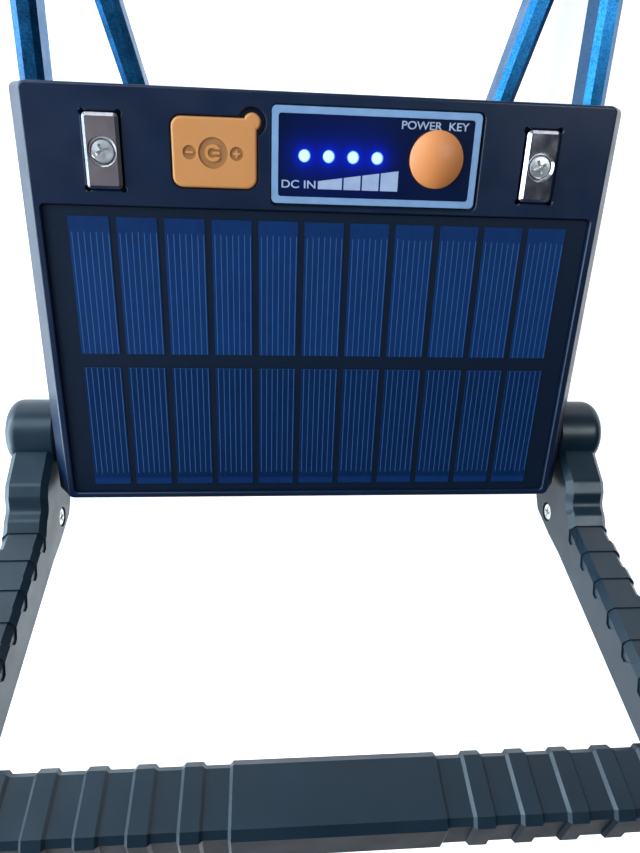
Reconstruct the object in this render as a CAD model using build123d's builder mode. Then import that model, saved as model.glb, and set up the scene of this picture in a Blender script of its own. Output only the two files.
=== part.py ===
from build123d import *
import os
from math import asin, cos, radians, sin

# Solar flood light: a flat lamp body with a solar panel and controls on its back, an LED
# window in its front, a carry frame that runs past its top, and a ribbed swing stand.
#
# Row frame, millimetres: the lamp lies on its front frame at Z = 0 with the solar panel up.
# +X is to the right seen from the solar side, +Y points to the carry grip.
# "v" below is a distance from the middle of the lamp body along +Y.

os.makedirs("parts", exist_ok=True)

# ---------------------------------------------------------------- driving dimensions
body_width = 179.0
body_length = 128.8
body_height = 36.0
split_height = 16.5
face_width = 170.0
side_bevel = 6.2
corner_radius = 2.0
wall = 2.2
roof_under = 31.6
roof_slope = 1.9
edge_round = 0.9
rim_bevel = 0.3
wall_step = 0.8

panel_width = 165.5
panel_length = 94.1
panel_v = -14.95
panel_floor = 33.4
cell_columns = 11
cell_pitch = 14.0
cell_width = 11.9
cell_length = 41.9
cell_row_pitch = 46.55
cell_v = -15.05

plate_width = 61.0
plate_length = 26.2
plate_x = 14.35
plate_v = 47.7
plate_floor = 34.8
border_width = 1.9
border_lift = 0.2
led_xs = [-6.7, 0.4, 7.6, 14.7]
led_v = 47.8
led_radius = 1.6

button_x = 32.3
button_v = 48.0
button_radius = 8.0
button_side = 0.5
button_lift = 3.1
button_gap = 0.3

cover_x = -32.5
cover_v = 47.6
cover_width = 24.3
cover_length = 19.0
cover_corner = 3.0
cover_floor = 34.2
cover_top = 36.3
tab_x = -21.7
tab_v = 56.1
tab_radius = 2.5
mark_x = -32.9
mark_depth = 0.4
mark_reach = 6.7

magnet_x = 63.8
magnet_v = 47.0
magnet_width = 10.0
magnet_length = 20.0
magnet_floor = 32.4
magnet_top = 37.4

board_x = 1.0
board_v = 44.0
board_width = 98.0
board_length = 19.0
board_bottom = 24.8
board_top = 26.4

window_width = 141.0
window_length = 96.0
lens_width = 145.0
lens_length = 101.0
lip = 2.2
lens_bottom = 2.9
lens_top = 5.4
led_board_bottom = 9.1
sink_bottom = 10.3
sink_top = 12.3
frame_wall = 2.5

frame_screw_x = 79.0
frame_screw_v = 57.5
sink_screw_x = 75.4
sink_screw_v = 30.0

strut_inner = 83.6
strut_outer = 91.2
strut_bottom = 4.5
strut_bevel = 1.7
strut_outer_bevel = 2.4
strut_foot_v = 40.0
brace_width = 8.0
brace_outer_at_top = 60.3
brace_lean = 0.302
grip_bar_v = 148.0
handle_top_v = 165.0
carry_grip_half = 48.0
grip_height = 13.0
waist_width = 12.6
waist_height = 8.0
waist_round = 2.5

cell_radius = 9.2
battery_length = 65.0
battery_z = 22.1
battery_pitch = 19.2
battery_v = -12.0
panel_lead_v = 24.0

hub_v = -47.1
hub_z = 17.4
hub_radius = 11.65
hub_inner_x = 90.6
hub_outer_x = 107.4
hub_round = 4.4
stand_angle = 107.5
arm_inner_x = 91.0
arm_outer_x = 105.2
arm_front = -14.4
arm_back = -31.4
knuckle_end = 35.0
bar_near = 110.6
bar_far = 129.4
stand_bevel = 2.0
far_bevel = 4.1
arm_groove_depth = 0.5
bar_groove_depth = 0.8
arm_groove_pitch = 11.4
arm_groove_length = 7.0
arm_groove_reach = 5.2
groove_lean = 2.6
arm_grooves = 6
bar_pad_half = 26.0
bar_groove_pitch = 11.95
bar_groove_length = 7.5
bar_grooves = 5
pivot_radius = 3.0
bore_gap = 0.15

# ---------------------------------------------------------------- derived places
tilt_cos = cos(radians(stand_angle))
tilt_sin = sin(radians(stand_angle))
stand_low_v = hub_v + (bar_far - far_bevel) * tilt_cos + arm_back * tilt_sin
body_y = -(handle_top_v + stand_low_v) / 2
half_width = body_width / 2
half_length = body_length / 2
hub_y = body_y + hub_v
face_half = face_width / 2
inner_half = half_width - wall
bevel_start = body_height - side_bevel

along = (0, tilt_cos, tilt_sin)
across = (0, tilt_sin, -tilt_cos)
cell_top = panel_floor + 1.5


def at(x, v, z=0.0):
    """A point on the lamp body, from its middle."""
    return (x, body_y + v, z)


def side_plane(x):
    """Sketch plane at a given X: local x runs along the stand arm, local y across it."""
    return Plane(origin=(x, hub_y, hub_z), x_dir=along, z_dir=(-1, 0, 0))


def stand_point(distance, offset):
    """Y and Z of a point given along and across the stand arm."""
    return (hub_y + distance * tilt_cos + offset * tilt_sin,
            hub_z + distance * tilt_sin - offset * tilt_cos)


def level(z, v=0.0, x=0.0):
    """Horizontal sketch plane centred on a place of the lamp body."""
    return Plane(origin=at(x, v, z))


def save(builder, name):
    builder.part.label = name
    export_step(builder.part, "parts/" + name + ".step")


# ================================================================ rear housing
frame_screw_spots = [(x, v) for x in (-frame_screw_x, 0, frame_screw_x)
                     for v in (-frame_screw_v, frame_screw_v)]
board_screw_spots = [(board_x + x, board_v + v) for x in (-45.5, 45.5) for v in (-7.2, 7.2)]
frame_post_radius = 3.4
insert_radius = 2.3
insert_length = 6.0

with BuildPart() as rear_housing:
    with BuildSketch(Plane.XZ.offset(-(body_y + half_length))):
        with BuildLine():
            Polyline((-half_width, split_height), (-half_width, bevel_start),
                     (-face_half, body_height), (face_half, body_height),
                     (half_width, bevel_start), (half_width, split_height), close=True)
        make_face()
    extrude(amount=body_length)
    upright = rear_housing.edges().filter_by(lambda e: abs(e.tangent_at(0).Z) > 0.3)
    fillet(upright, radius=corner_radius)
    fillet(rear_housing.faces().sort_by(Axis.Z)[-1].edges(), radius=edge_round)
    with BuildSketch(Plane.XZ.offset(-(body_y + half_length - wall))):
        with BuildLine():
            Polyline((-inner_half, split_height), (-inner_half, bevel_start - wall_step),
                     (-inner_half + roof_slope, roof_under), (inner_half - roof_slope, roof_under),
                     (inner_half, bevel_start - wall_step), (inner_half, split_height), close=True)
        make_face()
    extrude(amount=body_length - 2 * wall, mode=Mode.SUBTRACT)
    # posts for the frame screws and the board, and bosses under the magnets
    with BuildSketch(level(split_height)):
        with Locations(*frame_screw_spots):
            Circle(frame_post_radius)
    extrude(until=Until.NEXT)
    with BuildSketch(level(board_top)):
        with Locations(*board_screw_spots):
            Circle(2.8)
    extrude(until=Until.NEXT)
    with BuildSketch(level(27.0)):
        with Locations((-magnet_x, magnet_v), (magnet_x, magnet_v)):
            Rectangle(14, 24)
    extrude(amount=roof_under - 27.0)
    # panel bed
    with BuildSketch(level(panel_floor, panel_v)):
        RectangleRounded(panel_width + 0.5, panel_length + 0.5, 1.2)
    extrude(amount=body_height, mode=Mode.SUBTRACT)
    # control plate bed, a little longer at its right and lower side
    with BuildSketch(level(plate_floor, plate_v - 0.35, plate_x + 0.35)):
        RectangleRounded(plate_width + 1.2, plate_length + 1.2, 2.0)
    extrude(amount=body_height, mode=Mode.SUBTRACT)
    # magnet pockets with relieved corners
    with BuildSketch(level(magnet_floor)):
        for x in (-magnet_x, magnet_x):
            with Locations((x, magnet_v)):
                Rectangle(magnet_width + 0.8, magnet_length + 0.8)
                with GridLocations(magnet_width, magnet_length, 2, 2):
                    Circle(0.8)
    extrude(amount=body_height, mode=Mode.SUBTRACT)
    # bed of the port cover, with a thumb scallop round its tab
    with BuildSketch(level(cover_floor)):
        with Locations((cover_x, cover_v)):
            RectangleRounded(cover_width + 0.6, cover_length + 0.6, cover_corner + 0.3)
        with Locations((tab_x, tab_v)):
            Circle(tab_radius + 1.4)
    extrude(amount=body_height, mode=Mode.SUBTRACT)
    # broken edges round every bed in the solar face
    solar_face = rear_housing.faces().sort_by(Axis.Z)[-1]
    bed_edges = ShapeList([e for w in solar_face.inner_wires() for e in w.edges()])
    chamfer(bed_edges, length=rim_bevel)
    # openings through the roof: sockets, button, indicator lights, panel lead
    with BuildSketch(level(split_height)):
        with Locations((cover_x, cover_v)):
            RectangleRounded(18.5, 14.5, 2.0)
        with Locations((button_x, button_v)):
            Circle(button_radius + 1.7)
        with Locations(*[(x, led_v) for x in led_xs]):
            Circle(led_radius + 0.5)
        with Locations((0, panel_lead_v)):
            Rectangle(8, 4)
    extrude(amount=body_height, mode=Mode.SUBTRACT)
    # screw holes: brass inserts in the posts, magnet screws, board screws
    with BuildSketch(level(split_height)):
        with Locations(*frame_screw_spots):
            Circle(insert_radius)
    extrude(amount=insert_length + 4, mode=Mode.SUBTRACT)
    with BuildSketch(level(27.0)):
        with Locations((-magnet_x, magnet_v), (magnet_x, magnet_v)):
            Circle(1.55)
    extrude(amount=body_height, mode=Mode.SUBTRACT)
    with BuildSketch(level(board_top)):
        with Locations(*board_screw_spots):
            Circle(1.3)
    extrude(amount=4.0, mode=Mode.SUBTRACT)
    # pivot bolt holes through both side walls
    with BuildSketch(Plane.YZ.offset(-body_width)):
        with Locations((hub_y, hub_z)):
            Circle(pivot_radius + 0.3)
    extrude(amount=2 * body_width, mode=Mode.SUBTRACT)
save(rear_housing, "rear_housing")

# ================================================================ solar panel
with BuildPart() as solar_backsheet:
    with BuildSketch(level(panel_floor, panel_v)):
        RectangleRounded(panel_width, panel_length, 1.0)
    extrude(amount=1.2)
save(solar_backsheet, "solar_backsheet")

with BuildPart() as solar_cells:
    with BuildSketch(level(panel_floor + 1.2, cell_v)):
        with GridLocations(cell_pitch, cell_row_pitch, cell_columns, 2):
            Rectangle(cell_width, cell_length)
    extrude(amount=0.3)
save(solar_cells, "solar_cells")

with BuildPart() as panel_resin:
    with BuildSketch(level(cell_top, panel_v)):
        RectangleRounded(panel_width, panel_length, 1.0)
    extrude(amount=0.7)
    fillet(panel_resin.faces().sort_by(Axis.Z)[-1].edges(), radius=0.3)
save(panel_resin, "panel_resin")

# ================================================================ control plate and button
with BuildPart() as control_plate:
    with BuildSketch(level(plate_floor, plate_v, plate_x)):
        RectangleRounded(plate_width, plate_length, 1.4)
    extrude(amount=body_height - plate_floor)
    with BuildSketch(level(body_height, plate_v, plate_x)):
        RectangleRounded(plate_width, plate_length, 1.4)
        RectangleRounded(plate_width - 2 * border_width, plate_length - 2 * border_width, 0.8,
                         mode=Mode.SUBTRACT)
    extrude(amount=border_lift)
    with BuildSketch(level(plate_floor)):
        with Locations((button_x, button_v)):
            Circle(button_radius + button_gap)
        with Locations(*[(x, led_v) for x in led_xs]):
            Circle(led_radius + 0.05)
    extrude(amount=body_height, mode=Mode.SUBTRACT)
save(control_plate, "control_plate")

with BuildPart() as indicator_leds:
    with BuildSketch(level(board_top + 0.6)):
        with Locations(*[(x, led_v) for x in led_xs]):
            Circle(led_radius + 0.4)
    extrude(amount=1.0)
    with BuildSketch(level(board_top + 1.6)):
        with Locations(*[(x, led_v) for x in led_xs]):
            Circle(led_radius)
    extrude(amount=body_height + 0.3 - board_top - 1.6)
    fillet(indicator_leds.faces().filter_by(Axis.Z).group_by(Axis.Z)[-1].edges(), radius=1.0)
save(indicator_leds, "indicator_leds")

button_flange_top = plate_floor - 0.4
stem_bottom = 29.7
dome_rise = button_lift - button_side
dome_radius = (button_radius ** 2 + dome_rise ** 2) / (2 * dome_rise)
dome_centre = body_height + button_lift - dome_radius
dome_half_angle = asin(button_radius / dome_radius) / 2
with BuildPart() as power_button:
    with BuildSketch(Plane.XZ.offset(-(body_y + button_v))):
        with BuildLine():
            Polyline((button_x, body_height + button_lift), (button_x, stem_bottom),
                     (button_x + 2.2, stem_bottom), (button_x + 2.2, 33.2),
                     (button_x + 9.2, 33.2), (button_x + 9.2, button_flange_top),
                     (button_x + button_radius, button_flange_top),
                     (button_x + button_radius, body_height + button_side))
            ThreePointArc((button_x + button_radius, body_height + button_side),
                          (button_x + dome_radius * sin(dome_half_angle),
                           dome_centre + dome_radius * cos(dome_half_angle)),
                          (button_x, body_height + button_lift))
        make_face()
    revolve(axis=Axis(at(button_x, button_v), (0, 0, 1)))
save(power_button, "power_button")

with BuildPart() as switch_body:
    with BuildSketch(level(board_top, button_v, button_x)):
        RectangleRounded(6.2, 6.2, 0.5)
        Circle(1.8, mode=Mode.SUBTRACT)
    extrude(amount=2.2)
save(switch_body, "switch_body")

with BuildPart() as switch_plunger:
    with BuildSketch(level(board_top + 1.0, button_v, button_x)):
        Circle(1.74)
    extrude(amount=stem_bottom - 0.1 - board_top - 1.0)
save(switch_plunger, "switch_plunger")

# ================================================================ port cover and sockets
with BuildPart() as port_cover:
    with BuildSketch(level(cover_floor + 0.15)):
        with Locations((cover_x, cover_v)):
            RectangleRounded(cover_width, cover_length, cover_corner)
        with Locations((tab_x, tab_v)):
            Circle(tab_radius)
    extrude(amount=cover_top - cover_floor - 0.15)
    fillet(port_cover.faces().sort_by(Axis.Z)[-1].edges(), radius=0.8)
    # sunk discs that leave a minus, a plug and a plus standing
    with BuildSketch(level(cover_top, cover_v, mark_x)):
        Circle(4.2)
        with Locations((-mark_reach, 0), (mark_reach, 0)):
            Circle(1.9)
        with Locations((-mark_reach, 0), (mark_reach, 0)):
            Rectangle(2.0, 0.6, mode=Mode.SUBTRACT)
        with Locations((mark_reach, 0)):
            Rectangle(0.6, 2.0, mode=Mode.SUBTRACT)
        with BuildSketch(mode=Mode.PRIVATE) as plug:
            Circle(2.3)
            with Locations((-0.2, 0)):
                Circle(1.3, mode=Mode.SUBTRACT)
            with Locations((2.3, 0)):
                Rectangle(3.0, 2.0, mode=Mode.SUBTRACT)
            with Locations((0.9, 0)):
                Rectangle(2.0, 0.7)
        add(plug.sketch, mode=Mode.SUBTRACT)
    extrude(amount=-mark_depth, mode=Mode.SUBTRACT)
    # sealing rib that plugs the socket bay
    with BuildSketch(level(cover_floor + 0.15, cover_v, cover_x)):
        RectangleRounded(16.6, 12.6, 1.6)
        RectangleRounded(14.2, 10.2, 1.0, mode=Mode.SUBTRACT)
    extrude(amount=-1.6)
save(port_cover, "port_cover")

usb_v = cover_v + 2.9
charge_v = cover_v - 4.0
with BuildPart() as usb_socket:
    with BuildSketch(level(board_top, usb_v, cover_x)):
        Rectangle(13.2, 5.7)
        Rectangle(12.5, 5.1, mode=Mode.SUBTRACT)
    extrude(amount=5.9)
    with BuildSketch(level(board_top, usb_v, cover_x)):
        Rectangle(12.9, 5.4)
    extrude(amount=0.8)
    with BuildSketch(level(board_top + 0.8, usb_v - 0.9, cover_x)):
        Rectangle(11.1, 1.8)
    extrude(amount=4.6)
save(usb_socket, "usb_socket")

with BuildPart() as charge_socket:
    with BuildSketch(level(board_top, charge_v, cover_x)):
        SlotOverall(9.0, 3.2)
        SlotOverall(8.4, 2.6, mode=Mode.SUBTRACT)
    extrude(amount=5.9)
    with BuildSketch(level(board_top, charge_v, cover_x)):
        SlotOverall(8.6, 2.9)
    extrude(amount=0.8)
    with BuildSketch(level(board_top + 0.8, charge_v, cover_x)):
        Rectangle(6.6, 0.7)
    extrude(amount=4.4)
save(charge_socket, "charge_socket")

# ================================================================ magnets and their screws
sink_radius = 4.1
screw_drop = 0.9
with BuildPart() as magnets:
    with BuildSketch(level(magnet_floor)):
        with Locations((-magnet_x, magnet_v), (magnet_x, magnet_v)):
            Rectangle(magnet_width, magnet_length)
    extrude(amount=magnet_top - magnet_floor)
    fillet(magnets.edges().filter_by(Axis.Z), radius=1.3)
    chamfer(magnets.faces().group_by(Axis.Z)[-1].edges(), length=0.9)
    for x in (-magnet_x, magnet_x):
        with Locations(level(magnet_top, magnet_v, x)):
            CounterSinkHole(radius=1.7, counter_sink_radius=sink_radius, depth=8)
save(magnets, "magnets")

with BuildPart() as magnet_screws:
    for x in (-magnet_x, magnet_x):
        with BuildSketch(Plane.XZ.offset(-(body_y + magnet_v))):
            with BuildLine():
                Polyline((x, 27.6), (x + 1.5, 27.6), (x + 1.5, magnet_top - sink_radius + 1.4),
                         (x + sink_radius - screw_drop, magnet_top - screw_drop + 0.1),
                         (x + sink_radius - screw_drop - 0.3, magnet_top - screw_drop + 0.45),
                         (x, magnet_top - screw_drop + 0.75), close=True)
            make_face()
        revolve(axis=Axis(at(x, magnet_v), (0, 0, 1)))
        with BuildSketch(level(magnet_top, magnet_v, x)):
            Rectangle(4.2, 1.0, rotation=25)
            Rectangle(1.0, 4.2, rotation=25)
        extrude(amount=-1.5, taper=8, mode=Mode.SUBTRACT)
save(magnet_screws, "magnet_screws")

# ================================================================ electronics
with BuildPart() as main_board:
    with BuildSketch(level(board_bottom, board_v, board_x)):
        RectangleRounded(board_width, board_length, 1.0)
        with Locations(*[(x - board_x, v - board_v) for x, v in board_screw_spots]):
            Circle(1.4, mode=Mode.SUBTRACT)
    extrude(amount=board_top - board_bottom)
save(main_board, "main_board")

with BuildPart() as board_screws:
    with BuildSketch(level(board_bottom - 1.5)):
        with Locations(*board_screw_spots):
            Circle(2.4)
    extrude(amount=1.5)
    fillet(board_screws.faces().group_by(Axis.Z)[0].edges(), radius=0.5)
    with BuildSketch(level(board_bottom)):
        with Locations(*board_screw_spots):
            Circle(1.2)
    extrude(amount=5.4)
    with BuildSketch(level(board_bottom - 1.5)):
        with Locations(*board_screw_spots):
            Rectangle(2.6, 0.6)
            Rectangle(0.6, 2.6)
    extrude(amount=0.8, mode=Mode.SUBTRACT)
save(board_screws, "board_screws")

with BuildPart() as board_chips:
    with BuildSketch(level(board_bottom - 1.4)):
        with Locations((-8, 49), (6, 49)):
            RectangleRounded(6.2, 5.0, 0.3)
        with Locations((18, 43)):
            RectangleRounded(3.2, 3.2, 0.2)
        with Locations((-18, 42), (30, 52)):
            RectangleRounded(2.2, 1.4, 0.2)
    extrude(amount=1.4)
save(board_chips, "board_chips")

with BuildPart() as power_coil:
    with BuildSketch(level(board_bottom - 4.2, 47, -32)):
        RectangleRounded(8.0, 8.0, 1.6)
    extrude(amount=4.2)
    chamfer(power_coil.faces().sort_by(Axis.Z)[0].edges(), length=0.5)
save(power_coil, "power_coil")

# ================================================================ batteries
battery_vs = [battery_v + i * battery_pitch for i in (-1, 0, 1)]
with BuildPart() as battery_cells:
    with BuildSketch(Plane.YZ.offset(-battery_length / 2)):
        with Locations(*[(body_y + v, battery_z) for v in battery_vs]):
            Circle(cell_radius)
    extrude(amount=battery_length)
    fillet(battery_cells.edges().filter_by(GeomType.CIRCLE), radius=0.8)
save(battery_cells, "battery_cells")

cradle_length = 3 * battery_pitch + 2.4
with BuildPart() as battery_cradle:
    with BuildSketch(level(sink_top + 0.2, battery_v)):
        Rectangle(battery_length + 7.0, cradle_length)
    extrude(amount=7.4)
    with BuildSketch(Plane.YZ.offset(-(battery_length / 2 + 1.3))):
        with Locations(*[(body_y + v, battery_z) for v in battery_vs]):
            Circle(cell_radius + 0.15)
    extrude(amount=battery_length + 2.6, mode=Mode.SUBTRACT)
save(battery_cradle, "battery_cradle")

with BuildPart() as battery_contacts:
    for x in (-battery_length / 2 - 0.65, battery_length / 2 + 0.65):
        with BuildSketch(Plane.YZ.offset(x)):
            with Locations(*[(body_y + v, battery_z) for v in battery_vs]):
                Circle(4.4)
            with Locations((body_y + battery_v, battery_z)):
                Rectangle(2 * battery_pitch, 4.0)
        extrude(amount=0.4, both=True)
save(battery_contacts, "battery_contacts")

lead_radius = 0.8
lead_z = 18.5


def lead(points, radii):
    """A round insulated lead along straight runs joined by tangent arcs."""
    with BuildLine() as route:
        FilletPolyline(*points, radius=radii)
    with BuildSketch(Plane(origin=points[0], z_dir=route.line % 0)) as section:
        Circle(lead_radius)
    sweep(section.sketch, path=route.line)


contact_x = battery_length / 2 + 1.2
with BuildPart() as battery_leads:
    for side in (-1, 1):
        lead([at(side * contact_x, battery_v, battery_z), at(side * 40, battery_v, battery_z),
              at(side * 40, 37.5, battery_z), at(side * 40, 37.5, board_bottom)], (2.6, 1.4))
save(battery_leads, "battery_leads")

with BuildPart() as lamp_leads:
    for v in (24.0, 28.0):
        lead([at(50, v, sink_top), at(50, v, lead_z), at(28, v + 13.5, lead_z),
              at(28, v + 13.5, board_bottom)], (2.4, 2.4))
save(lamp_leads, "lamp_leads")

with BuildPart() as panel_leads:
    for x in (-2.0, 2.0):
        lead([at(x, panel_lead_v, panel_floor), at(x, panel_lead_v, 29.4), at(x, 38, 29.4),
              at(x, 38, board_top)], (1.4, 1.4))
save(panel_leads, "panel_leads")

# ================================================================ light unit
sink_screw_spots = [(x, v) for x in (-sink_screw_x, sink_screw_x)
                    for v in (-sink_screw_v, sink_screw_v)]
with BuildPart() as heat_sink:
    with BuildSketch(level(sink_bottom)):
        RectangleRounded(157.0, 100.0, 3.0)
        with Locations(*sink_screw_spots):
            Circle(1.6, mode=Mode.SUBTRACT)
    extrude(amount=sink_top - sink_bottom)
    with BuildSketch(level(sink_bottom)):
        with Locations((50, 24), (50, 28)):
            Circle(1.1)
    extrude(amount=sink_top, mode=Mode.SUBTRACT)
save(heat_sink, "heat_sink")

with BuildPart() as sink_screws:
    with BuildSketch(level(sink_top)):
        with Locations(*sink_screw_spots):
            Circle(2.6)
    extrude(amount=1.8)
    fillet(sink_screws.faces().group_by(Axis.Z)[-1].edges(), radius=0.5)
    with BuildSketch(level(sink_top)):
        with Locations(*sink_screw_spots):
            Circle(1.2)
    extrude(amount=-7.0)
    with BuildSketch(level(sink_top + 1.0)):
        with Locations(*sink_screw_spots):
            Rectangle(3.0, 0.6)
            Rectangle(0.6, 3.0)
    extrude(amount=1.0, mode=Mode.SUBTRACT)
save(sink_screws, "sink_screws")

emitter_columns = 12
emitter_rows = 7
with BuildPart() as led_board:
    with BuildSketch(level(led_board_bottom)):
        RectangleRounded(132.0, 88.0, 1.0)
    extrude(amount=sink_bottom - led_board_bottom)
save(led_board, "led_board")

with BuildPart() as led_emitters:
    with BuildSketch(level(led_board_bottom)):
        with GridLocations(10.2, 11.2, emitter_columns, emitter_rows):
            Rectangle(4.6, 4.6)
    extrude(amount=-0.9)
save(led_emitters, "led_emitters")

with BuildPart() as reflector:
    with BuildSketch(level(lens_top)):
        RectangleRounded(lens_width - 0.4, lens_length - 0.4, 3.0)
    extrude(amount=sink_bottom - lens_top)
    with BuildSketch(level(led_board_bottom)):
        RectangleRounded(132.4, 88.4, 1.2)
    extrude(amount=body_height, mode=Mode.SUBTRACT)
    with BuildSketch(level(lens_top)):
        RectangleRounded(139.0, 95.0, 4.0)
    with BuildSketch(level(led_board_bottom)):
        RectangleRounded(126.0, 82.0, 3.0)
    loft(mode=Mode.SUBTRACT)
save(reflector, "reflector")

with BuildPart() as lens_gasket:
    with BuildSketch(level(lip)):
        RectangleRounded(lens_width, lens_length, 3.0)
        RectangleRounded(window_width + 0.6, window_length + 0.6, 5.0, mode=Mode.SUBTRACT)
    extrude(amount=lens_bottom - lip)
save(lens_gasket, "lens_gasket")

with BuildPart() as front_lens:
    with BuildSketch(level(lens_bottom)):
        RectangleRounded(lens_width, lens_length, 3.0)
    extrude(amount=lens_top - lens_bottom)
    with BuildSketch(level(lens_bottom)):
        RectangleRounded(window_width - 0.6, window_length - 0.6, 5.0)
    extrude(amount=-1.6)
    fillet(front_lens.faces().sort_by(Axis.Z)[0].edges(), radius=0.8)
save(front_lens, "front_lens")

# ================================================================ front frame and carry frame
brace_outer_at_bar = brace_outer_at_top + brace_lean * (grip_bar_v + 4 - half_length)


def on_outside(edge):
    """True for the frame's outermost edges."""
    place = edge.center()
    return abs(place.X) > strut_outer - 3.5 or place.Y > body_y + handle_top_v - 3.5


def off_rim(edge):
    """True for edges of the gaps between struts, braces and bar."""
    place = edge.center()
    return abs(place.X) < strut_inner + 1 and place.Y < body_y + grip_bar_v + 3


with BuildPart() as front_frame:
    with BuildSketch(level(0.0)):
        RectangleRounded(body_width, body_length, corner_radius)
    extrude(amount=split_height)
    # struts, slanting braces and the bar that the hand holds
    with BuildSketch(level(strut_bottom)):
        for side in (-1, 1):
            with BuildLine():
                Polyline((side * strut_inner, strut_foot_v - 12), (side * half_width, strut_foot_v),
                         (side * strut_outer, strut_foot_v + 10), (side * strut_outer, handle_top_v),
                         (side * strut_inner, handle_top_v), close=True)
            make_face()
            with BuildLine():
                Polyline((side * (brace_outer_at_top - brace_width * 1.045), half_length - 6),
                         (side * (brace_outer_at_top - brace_lean * 6), half_length - 6),
                         (side * brace_outer_at_bar, grip_bar_v + 4),
                         (side * (brace_outer_at_bar - brace_width * 1.045), grip_bar_v + 4), close=True)
            make_face()
        with Locations((0, (grip_bar_v + handle_top_v) / 2)):
            Rectangle(2 * strut_outer, handle_top_v - grip_bar_v)
    extrude(amount=split_height - strut_bottom)
    far_corners = front_frame.edges().filter_by(Axis.Z).group_by(Axis.Y)[-1]
    fillet(far_corners, radius=7.0)
    gap_corners = front_frame.edges().filter_by(Axis.Z).filter_by_position(
        Axis.Y, body_y + half_length - 1, body_y + grip_bar_v + 0.5)
    fillet(gap_corners.filter_by_position(Axis.Y, body_y + half_length + 1, body_y + grip_bar_v + 0.5)
           .filter_by(lambda e: abs(e.center().X) < strut_inner - 4), radius=2.5)
    beyond_body = front_frame.edges().filter_by_position(
        Axis.Y, body_y + half_length + 0.5, body_y + handle_top_v + 1)
    level_run = beyond_body.filter_by(lambda e: abs(e.tangent_at(0).Z) < 0.1)
    chamfer(level_run.filter_by(on_outside), length=strut_outer_bevel)
    beyond_body = front_frame.edges().filter_by_position(
        Axis.Y, body_y + half_length + 0.5, body_y + handle_top_v + 1)
    level_run = beyond_body.filter_by(lambda e: abs(e.tangent_at(0).Z) < 0.1)
    flats = level_run.filter_by_position(Axis.Z, split_height - 0.01, split_height + 0.01)
    flats += level_run.filter_by_position(Axis.Z, strut_bottom - 0.01, strut_bottom + 0.01)
    chamfer(flats.filter_by(off_rim), length=strut_bevel)
    chamfer(front_frame.faces().sort_by(Axis.Z)[0].edges(), length=1.6)
    # cavity behind the lip, window through the lip
    with BuildSketch(level(lip)):
        RectangleRounded(body_width - 2 * frame_wall, body_length - 2 * frame_wall, 2.0)
    extrude(amount=body_height, mode=Mode.SUBTRACT)
    with BuildSketch(level(-1.0)):
        RectangleRounded(window_width, window_length, 6.0)
    extrude(amount=body_height, mode=Mode.SUBTRACT)
    with BuildSketch(level(lip - 0.5)):
        with Locations(*frame_screw_spots):
            Circle(frame_post_radius)
    extrude(amount=split_height - lip + 0.5)
    with BuildSketch(level(lip - 0.5)):
        with Locations(*sink_screw_spots):
            Circle(2.3)
    extrude(amount=sink_bottom - lip + 0.5)
    with BuildSketch(level(-1.0)):
        with Locations(*frame_screw_spots):
            Circle(1.75)
    extrude(amount=body_height, mode=Mode.SUBTRACT)
    with BuildSketch(level(-1.0)):
        with Locations(*frame_screw_spots):
            Circle(3.1)
    extrude(amount=3.6, mode=Mode.SUBTRACT)
    with BuildSketch(level(sink_bottom - 6.5)):
        with Locations(*sink_screw_spots):
            Circle(1.3)
    extrude(amount=body_height, mode=Mode.SUBTRACT)
    with BuildSketch(Plane.YZ.offset(-body_width)):
        with Locations((hub_y, hub_z)):
            Circle(pivot_radius + 0.3)
    extrude(amount=2 * body_width, mode=Mode.SUBTRACT)
    # slimmer waist of the bar under the carry grip
    bar_v = (grip_bar_v + handle_top_v) / 2
    bar_z = (strut_bottom + split_height) / 2
    with BuildSketch(Plane.YZ.offset(-carry_grip_half)):
        with Locations((body_y + bar_v, bar_z)):
            Rectangle(40, 40)
            RectangleRounded(waist_width, waist_height, waist_round, mode=Mode.SUBTRACT)
    extrude(amount=2 * carry_grip_half, mode=Mode.SUBTRACT)
save(front_frame, "front_frame")

with BuildPart() as carry_grip:
    with BuildSketch(Plane.YZ.offset(-carry_grip_half + 0.1)):
        with Locations((body_y + bar_v, bar_z)):
            RectangleRounded(handle_top_v - grip_bar_v, grip_height, 5.5)
            RectangleRounded(waist_width + 0.1, waist_height + 0.1, waist_round, mode=Mode.SUBTRACT)
    extrude(amount=2 * carry_grip_half - 0.2)
    for i in range(-7, 8):
        with BuildSketch(Plane.YZ.offset(i * 6.0 - 1.0)):
            with Locations((body_y + bar_v, bar_z)):
                Rectangle(40, 40)
                RectangleRounded(handle_top_v - grip_bar_v - 1.6, grip_height - 1.6, 4.7, mode=Mode.SUBTRACT)
        extrude(amount=2.0, mode=Mode.SUBTRACT)
save(carry_grip, "carry_grip")

with BuildPart() as frame_screws:
    with BuildSketch(level(0.5)):
        with Locations(*frame_screw_spots):
            Circle(2.8)
    extrude(amount=2.1)
    fillet(frame_screws.faces().group_by(Axis.Z)[0].edges(), radius=0.6)
    with BuildSketch(level(2.6)):
        with Locations(*frame_screw_spots):
            Circle(1.5)
    extrude(amount=19.0)
    with BuildSketch(level(0.4)):
        with Locations(*frame_screw_spots):
            Rectangle(3.4, 0.8)
            Rectangle(0.8, 3.4)
    extrude(amount=1.2, mode=Mode.SUBTRACT)
save(frame_screws, "frame_screws")

with BuildPart() as thread_inserts:
    with BuildSketch(level(split_height + 0.1)):
        with Locations(*frame_screw_spots):
            Circle(insert_radius - 0.02)
            Circle(1.56, mode=Mode.SUBTRACT)
    extrude(amount=insert_length)
save(thread_inserts, "thread_inserts")

# ================================================================ pivot hardware on the lamp
bracket_outer = half_width - frame_wall - 0.1
bracket_inner = bracket_outer - 3.0
washer_seat = 98.6
bolt_head_at = washer_seat + 2.5
bolt_head_height = 3.0


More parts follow.
